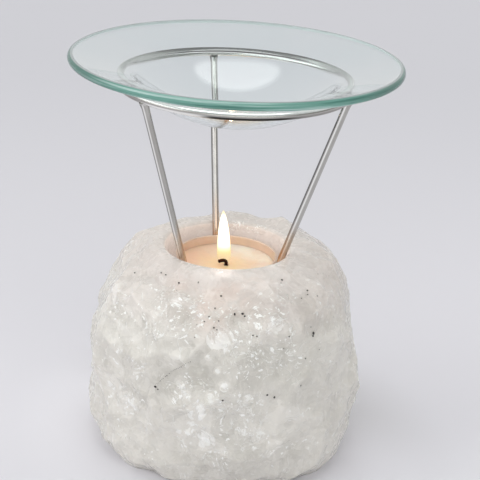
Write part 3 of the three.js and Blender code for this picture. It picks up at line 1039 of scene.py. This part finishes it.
def build_cup(material):
    """The cup's wall and rolled rim as one turned outline: straight runs joined by arcs."""
    bead = (cup_radius - rim_bead, cup_height - rim_bead)
    inner_top = cup_inside(cup_height) - cup_wall / 2
    outline = np.concatenate([
        [(0, 0)],
        arc((wall_foot - cup_corner, cup_corner), cup_corner, -QUARTER, 0, 6),
        straight((wall_foot, cup_corner), (wall_top, cup_height - 2 * rim_bead), 6)[1:],
        arc(bead, rim_bead, -QUARTER / 2, 2 * QUARTER, 12),
        straight((inner_top, bead[1]), (cup_inside(cup_corner), cup_corner), 8)[1:],
        arc((cup_inside(0) - cup_corner + cup_wall, cup_corner), cup_corner - cup_wall, 0, -QUARTER, 4),
        [(0, cup_wall)]])
    outline[:, 1] += bore_floor
    grid = turned(outline, round_columns)
    return piece("tealight_shell", [grid], material, "tealight", ["tealight_cup"], crease=40)


wick_radius = 0.7 * MM
wax_edge = cup_height - 3.4 * MM
wax_hollow = 1.3 * MM
wax_middle = wax_edge - wax_hollow
wax_gap = 0.2 * MM
wax_foot_inset = 2 * MM
wax_over_sustainer = 5 * MM


def wax_top(radius):
    """Height of the hollowed wax above the cup's underside: a shallow parabola."""
    share = radius / cup_inside(wax_edge)
    return wax_middle + wax_hollow * share ** 2


def build_wax(material):
    """A turned block under a hollowed top, raised below to clear the sustainer.

    The pool mark is 1 at the wick's middle and 0 at the wall.
    """
    outer = cup_inside(wax_edge) - wax_gap
    radius = np.linspace(wick_radius + seat_gap, outer, 40)
    top = np.stack([radius, wax_top(radius)], 1)
    outline = np.concatenate([
        [(radius[0], cup_wall + wax_over_sustainer)],
        [(outer - wax_foot_inset, cup_wall)],
        [(cup_inside(cup_corner) - wax_gap, cup_corner)],
        top[::-1]])
    outline[:, 1] += bore_floor
    grid = turned(outline, round_columns)
    marks = {"pool": np.broadcast_to(1 - outline[:, :1] / outer, grid.shape[:2])}
    return piece(
        "candle_fill", [grid], material, "tealight", ["candle_wax"], crease=40, loop=True, marks=marks)


def bezier(points, steps):
    """A cubic curve from the first of four control points to the last, drawn towards the two between."""
    a, b, c, d = (np.asarray(p, float) for p in points)
    s = np.linspace(0, 1, steps)[:, None]
    return a * (1 - s) ** 3 + 3 * b * s * (1 - s) ** 2 + 3 * c * s ** 2 * (1 - s) + d * s ** 3


# The wick's hook: its bearing in degrees, the height over the wax at which it starts to bend, how far up its
# curve is drawn, and its reach
wick_bearing = 167
wick_bend = 0.7 * MM
wick_crown = 1.3 * MM
wick_hook = 3 * MM

# The braid swells and thins by a share of the wick's radius, with this many radians of its wave to a point of
# the path, and the burnt tip is thinner
braid_swell = 0.06
braid_wave = 1.6
tip_share = 0.7


def build_wick(material):
    """A rod up out of the sustainer that hooks over; its radius swells and thins like a braid."""
    def aside(reach, height):
        """The point at a reach towards the wick's bearing and a height over the cup's underside."""
        return reach * toward(wick_bearing, 0) + [0, 0, bore_floor + height]

    bend = wax_middle + wick_bend
    crown = bend + wick_crown
    start = cup_wall + seat_gap
    tip = aside(wick_hook, bend + wick_crown / 3)
    hook = bezier([aside(0, bend), aside(0, crown), aside(wick_hook / 2, crown), tip], 24)
    path = np.concatenate([straight(aside(0, start), aside(0, bend), 30), hook])
    wave = np.cos(np.arange(len(path)) * braid_wave)
    radius = wick_radius * (1 - braid_swell + braid_swell * wave)
    radius[-1] *= tip_share
    grid = swept(path, radius, 16)
    return piece("wick_braid", [grid], material, "tealight", ["wick"], crease=60)


flame_foot = 11.8 * MM
flame_tall = 21.4 * MM
flame_width = 2.75 * MM
flame_beside_axis = 0.8 * MM
flame_lean = math.radians(3.3)
flame_taper = 2.6
flame_fullness = 0.75
flame_round_foot = 0.1


def build_flame(material):
    """A drop turned about its own axis: radius = width (1 - s^taper)^fullness, with s from 0 at its foot to 1.

    The square root of s over the round foot's share rounds it off below, where its rows are closer together.
    Its axis leans to the left of the burner's, as a flame stands upright whatever the base does.
    """
    share = np.linspace(0, 1, 80) ** 1.3
    round_foot = np.sqrt(np.clip(share / flame_round_foot, 0, 1))
    radius = flame_width * (1 - share ** flame_taper) ** flame_fullness * round_foot
    radius[-1] = 0
    grid = turned(np.stack([radius, share * flame_tall], 1), 48)
    slide = flame_beside_axis + grid[:, :, 2:] * math.tan(flame_lean)
    grid += slide * picture_left + [0, 0, bore_floor + flame_foot]
    marks = {"rise": np.broadcast_to(share[:, None], grid.shape[:2])}
    return piece("flame", [grid], material, "tealight", marks=marks)


# Stand

# Bearings of the legs in degrees
leg_bearings = {"back": 90, "left": 210, "right": 330}

foot_radius = cup_radius + seat_gap + wire_radius
knee_height = cup_high.z - 0.5 * MM
knee_reach = 3 * MM
ring_columns = 240
wire_sides = 24

# The legs end inside the ring, this share of the wire's radius short of its middle. Near the ring they are
# thicker by up to the flare's share, which dies away over its reach.
leg_end_share = 0.4
weld_flare = 0.35
weld_reach = 0.9 * MM


def build_ring(material):
    """The wire ring: a circle of the wire's radius carried round the ring's circle."""
    outline = arc((ring_radius, ring_height), wire_radius, 0, TURN, wire_sides)[:-1]
    grid = turned(outline, ring_columns)
    middle = turned([(ring_radius, ring_height)] * len(outline), ring_columns)
    marks = {"round_wire": (grid - middle) / wire_radius}
    return piece("ring_wire", [grid], material, "stand", ["stand_ring"], loop=True, marks=marks)


def leg_path():
    """Upright foot, a knee as a quadratic curve, and a straight lean to the ring, in the (out, up) plane."""
    foot = np.array([foot_radius, bore_floor])
    knee = np.array([foot_radius, knee_height])
    top = np.array([ring_radius, ring_height])
    lean = (top - knee) / np.linalg.norm(top - knee)
    below = knee - [0, knee_reach]
    above = knee + lean * knee_reach
    s = np.linspace(0, 1, 10)[:, None]
    bend = below * (1 - s) ** 2 + 2 * knee * s * (1 - s) + above * s ** 2
    end = top - lean * wire_radius * leg_end_share
    return np.concatenate([straight(foot, below, 8), bend, straight(above, end, 60)[1:], [end]])


def build_leg(side, material):
    """A rod along the leg's path that flares into the weld: radius = wire (1 + flare exp(-d / reach)).

    Here d is the distance from the ring's wire.
    """
    flat = leg_path()
    path = flat[:, :1] * toward(leg_bearings[side], 0) + flat[:, 1:] * [0, 0, 1]
    to_ring = np.linalg.norm(flat - [ring_radius, ring_height], axis=1) - wire_radius
    flare = weld_flare * np.exp(-np.clip(to_ring, 0, None) / weld_reach)
    grid = swept(path, wire_radius * (1 + flare), wire_sides)
    middle = np.concatenate([path[:1], path, path[-1:]])
    marks = {"round_wire": (grid - middle[:, None]) / wire_radius}
    return piece(
        f"leg_{side}_rod", [grid], material, "stand", [f"stand_leg_{side}"], crease=60,
        marks=marks)


# Dish

dish_columns = 256


def dish_outline():
    """The bowl's sphere, the knee inside the ring, the flange sloping up over the ring, and its round edge.

    The bowl's middle is over_flange away from the flange's underside, which clears the wire by the seat gap.
    """
    half = glass_thickness / 2
    bowl = (0, ring_height - bowl_below_ring + bowl_radius)
    over_ring = ring_radius * math.sin(flange_slope) + (bowl[1] - ring_height) * math.cos(flange_slope)
    over_flange = over_ring - wire_radius - seat_gap
    reach = bowl_radius + flange_knee
    bowl_angle = flange_slope + math.acos((over_flange + flange_knee) / reach)
    knee = (reach * math.sin(bowl_angle), bowl[1] - reach * math.cos(bowl_angle))
    edge_r = dish_radius - half
    middle_r = knee[0] - (flange_knee + half) * math.sin(flange_slope)
    middle_z = knee[1] + (flange_knee + half) * math.cos(flange_slope)
    edge = (edge_r, middle_z + (edge_r - middle_r) * math.tan(flange_slope))
    under = arc(knee, flange_knee, QUARTER + bowl_angle, QUARTER + flange_slope, 10)
    over = arc(knee, flange_knee + glass_thickness, QUARTER + flange_slope, QUARTER + bowl_angle, 10)
    round_edge = arc(edge, half, -QUARTER + flange_slope, QUARTER + flange_slope, 14)
    below = np.concatenate([
        arc(bowl, bowl_radius, -QUARTER, -QUARTER + bowl_angle, 30)[:-1], under[:-1],
        flat_run(under[-1], round_edge[0])])
    above = np.concatenate([
        flat_run(round_edge[-1], over[0])[1:], over[:-1],
        arc(bowl, bowl_radius - glass_thickness, -QUARTER + bowl_angle, -QUARTER, 30)])
    return below, round_edge, above


def build_dish(clear, green):
    """The outline turned about Z, with the green glass on its round edge."""
    below, round_edge, above = dish_outline()
    grid = turned(np.concatenate([below, round_edge, above]), dish_columns)
    across = np.concatenate([np.zeros(len(below)), np.linspace(0, 1, len(round_edge)), np.ones(len(above))])
    marks = {"across": np.broadcast_to(across[:, None], grid.shape[:2])}
    band = (green, len(below), len(below) + len(round_edge) - 1)
    return piece(
        "dish_glass_bowl", [grid], clear, "dish", ["glass_dish"], marks=marks, band=band)


# Camera, light and floor

def place_camera():
    """A camera whose own axes are the picture's right, its top and the way back to the viewer."""
    right, top, forward = camera_axes()
    data = bpy.data.cameras.new("camera")
    data.lens = camera_lens
    data.sensor_width = camera_sensor
    data.sensor_fit = "HORIZONTAL"
    data.clip_start = 0.01
    data.clip_end = 50.0
    camera = bpy.data.objects.new("camera", data)
    turn = Matrix((right, top, -forward)).transposed().to_4x4()
    camera.matrix_world = Matrix.Translation(camera_place) @ turn
    bpy.context.scene.collection.objects.link(camera)
    bpy.context.scene.camera = camera


def floor_paper():
    """A pale lavender grey paper, lighter towards the viewer, with painted light at the near right and on the
    stone's lit side.

    Beside the stone a painted shadow makes it darker on the side away from the light. All bearings are in
    degrees.
    """
    material, t = material_tree("floor_paper")
    place = t.place()
    away = t.ramp(t.along(place, toward(77, 0)), -100 * MM, 600 * MM)
    colour = t.blend(away, paint(221, 220, 225), paint(203, 203, 208))
    # Painted light: the near right of the floor is lighter.
    painted_light_near_right = t.ramp(t.along(place, toward(-62, 0)), 50 * MM, 130 * MM)
    colour = t.blend(painted_light_near_right, colour, paint(227, 227, 231))
    # Painted light and painted shadow beside the stone: lighter on the side towards the light, darker away
    # from it.
    beside = t.ramp(t.vector("LENGTH", place, output="Value"), 50 * MM, 95 * MM, 1.0, 0.0)
    lit = t.ramp(t.along(place, toward(235, 0)), -45 * MM, 0.0)
    colour = t.blend(beside, colour, t.blend(lit, paint(207, 206, 209), paint(229, 228, 233)))
    t.principled(Base_Color=colour, Roughness=0.9, Specular_IOR_Level=0.2)
    return material


def lay_floor():
    """A level square floor, wide enough to reach past the top of the picture."""
    reach = 12.0
    mesh = bpy.data.meshes.new("floor")
    corners = [(reach * x, reach * y, 0) for x, y in ((-1, -1), (1, -1), (1, 1), (-1, 1))]
    mesh.from_pydata(corners, [], [(0, 1, 2, 3)])
    mesh.materials.append(floor_paper())
    floor = bpy.data.objects.new("floor", mesh)
    bpy.context.scene.collection.objects.link(floor)


def soft_box(t, direction, bearing, elevation, wide, tall, strength, core=0.45):
    """Light from an oval patch of the room with feathered edges, its half angles in degrees.

    With u and v the direction's sideways and upright parts over the sines of the half angles, it fades as
    u^2 + v^2 goes from the core to 1.3. It doesn't shine from the other side of the room.
    """
    centre = toward(bearing, elevation)
    side = toward(bearing - 90, 0)
    upright = np.cross(side, centre)
    u = t.along(direction, side / math.sin(math.radians(wide)))
    v = t.along(direction, upright / math.sin(math.radians(tall)))
    spread = t.total(t.product(u, u), t.product(v, v))
    return t.product(t.ramp(spread, core, 1.3, strength, 0.0), t.ramp(t.along(direction, centre), 0.0, 0.2))


def light_the_room():
    """An even pale room, brighter on its far side, with soft boxes above, low at the left and in front."""
    world = bpy.data.worlds.new("studio")
    world.use_nodes = True
    bpy.context.scene.world = world
    t = Tree(world.node_tree)
    direction = t.node("ShaderNodeTexCoord").outputs["Generated"]
    up = t.height(direction)
    even = t.ramp(up, -0.1, 0.1, 0.4, 0.53)
    far = t.ramp(t.along(direction, toward(80, 0)), 0.0, 0.5)
    far_side = t.product(far, t.ramp(up, 0.85, 0.95, 0.2, 0.0))
    above = soft_box(t, direction, bearing=80, elevation=78, wide=23, tall=16, strength=2.1, core=0.85)
    low_left = soft_box(t, direction, bearing=180, elevation=26, wide=34, tall=20, strength=1.6)
    low_front = soft_box(t, direction, bearing=-95, elevation=25, wide=46, tall=17, strength=1.25)
    light = t.total(even, far_side, above, low_left, low_front)
    room = t.node("ShaderNodeBackground", Color=(1.0, 1.0, 1.0, 1.0), Strength=light)
    output = t.node("ShaderNodeOutputWorld")
    t.feed(output.inputs["Surface"], room.outputs[0])


def dress_burner():
    """Every piece of the burner, from the stone up."""
    build_stone(milky_quartz())
    build_grains(dark_mineral())
    build_cup(cup_foil())
    build_wax(candle_wax())
    build_wick(charred_cotton())
    build_flame(candle_flame())
    steel = satin_steel()
    build_ring(steel)
    for side in leg_bearings:
        build_leg(side, steel)
    build_dish(clear_glass(), edge_glass())
    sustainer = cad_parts["wick_sustainer"]
    sustainer.data.materials.clear()
    sustainer.data.materials.append(sustainer_tin())
    for made in sustainer.material_slots:
        made.link = "DATA"


dress_burner()
lay_floor()
light_the_room()
place_camera()
bpy.context.scene.view_settings.view_transform = "Standard"
